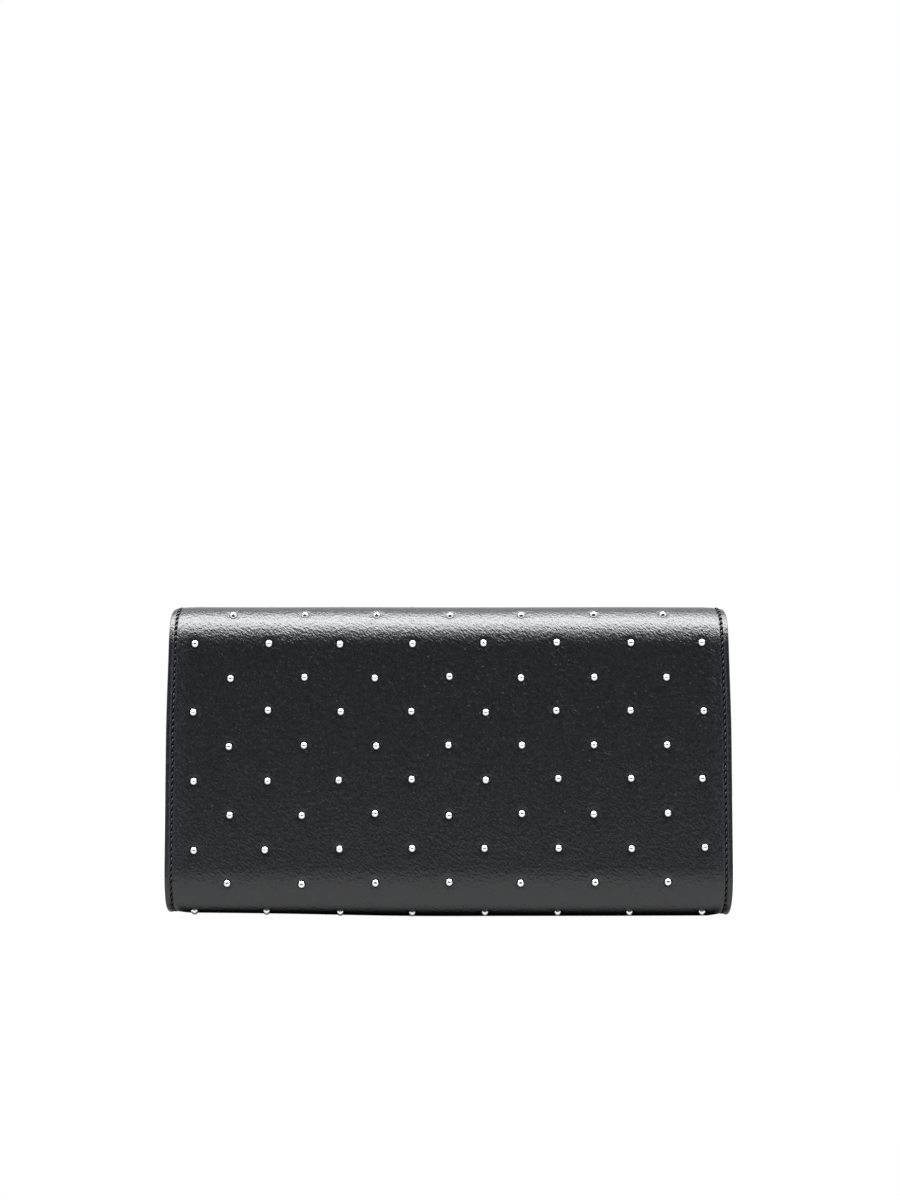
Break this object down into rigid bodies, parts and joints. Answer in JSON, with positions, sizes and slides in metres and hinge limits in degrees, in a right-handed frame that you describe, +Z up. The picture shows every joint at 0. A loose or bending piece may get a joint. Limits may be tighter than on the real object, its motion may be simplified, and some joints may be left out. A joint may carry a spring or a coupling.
{
  "type": "chain wallet",
  "caption": "Flap wallet in smooth black leather with dome studs, accordion sides, card slots, a zipped coin pocket and rings for a chain.",
  "frame": {"origin": "on the surface that the wallet stands on, under the middle of its whole width and depth, flap included", "axes": "+Z up from the base to the top fold, X along the width, -Y out of the flap side and +Y out of the plain back"},
  "size_m": [0.225, 0.0426, 0.124],
  "materials": {
    "outer_leather": "smooth semi-gloss black, fine grain, painted edges",
    "inner_leather": "satin black, fine grain",
    "lining": "matte black twill",
    "board": "matte fibre board",
    "zip_tape": "matte black woven tape",
    "silver_metal": "polished silver-coloured plating"
  },
  "bodies": {
    "case": {"back_panel": "outer_leather", "case_lining": "lining", "back_board": "board", "base_board": "board", "card_backing": "inner_leather", "card_slot_left_1": "inner_leather", "card_slot_left_2": "inner_leather", "card_slot_left_3": "inner_leather", "card_slot_right_1": "inner_leather", "card_slot_right_2": "inner_leather", "card_slot_right_3": "inner_leather", "left_gusset": "inner_leather", "right_gusset": "inner_leather", "left_ring_tab": "inner_leather", "right_ring_tab": "inner_leather"},
    "front": {"front_panel": "outer_leather", "front_board": "board", "front_lining": "lining", "slip_pocket": "inner_leather", "snap_socket": "silver_metal"},
    "divider": {"coin_pocket_rear": "inner_leather", "coin_pocket_front": "inner_leather", "zip_tape_rear": "zip_tape", "zip_tape_front": "zip_tape", "zip_teeth_rear": "silver_metal", "zip_teeth_front": "silver_metal", "zip_stop_left": "silver_metal", "zip_stop_right": "silver_metal"},
    "top_fold": {"fold_panel": "outer_leather", "fold_lining": "lining"},
    "flap": {"flap_panel": "outer_leather", "flap_board": "board", "flap_lining": "lining", "snap_stud": "silver_metal", "snap_stud_plate": "silver_metal"},
    "zip_slider": {"zip_slider": "silver_metal"},
    "zip_pull": {"zip_pull": "silver_metal"},
    "left_ring": {"left_ring": "silver_metal"},
    "right_ring": {"right_ring": "silver_metal"}
  },
  "joints": [
    {"name": "fold_bend", "type": "hinge", "parent": "case", "child": "top_fold", "pos_m": [0, 0.00642, 0.11963], "axis": [-1, 0, 0], "range_deg": [0, 90]},
    {"name": "flap_bend", "type": "hinge", "parent": "top_fold", "child": "flap", "pos_m": [0, -0.0132, 0.12072], "axis": [-1, 0, 0], "range_deg": [0, 90]},
    {"name": "front_spread", "type": "hinge", "parent": "case", "child": "front", "pos_m": [0, -0.01864, 0.02054], "axis": [1, 0, 0], "range_deg": [0, 12], "deforming": ["left_gusset", "right_gusset"]},
    {"name": "divider_tilt", "type": "hinge", "parent": "case", "child": "divider", "pos_m": [0, 0.00028, 0.007], "axis": [1, 0, 0], "range_deg": [0, 5], "deforming": ["left_gusset", "right_gusset"]},
    {"name": "zip_slide", "type": "slide", "parent": "divider", "child": "zip_slider", "axis": [1, 0, 0], "range_m": [0, 0.151]},
    {"name": "pull_swing", "type": "hinge", "parent": "zip_slider", "child": "zip_pull", "pos_m": [-0.0755, 0.00028, 0.0906], "axis": [0, -1, 0], "range_deg": [0, 180]},
    {"name": "left_ring_swing", "type": "hinge", "parent": "case", "child": "left_ring", "pos_m": [-0.1015, 0.00689, 0.102], "axis": [-1, 0, 0], "range_deg": [0, 150]},
    {"name": "right_ring_swing", "type": "hinge", "parent": "case", "child": "right_ring", "pos_m": [0.1015, 0.00689, 0.102], "axis": [-1, 0, 0], "range_deg": [0, 150]}
  ],
  "couplings": [
    {"joint": "flap_bend", "follows": "fold_bend", "ratio": 1},
    {"joint": "front_spread", "follows": "fold_bend", "ratio": 0.13333},
    {"joint": "divider_tilt", "follows": "fold_bend", "ratio": 0.055555}
  ]
}
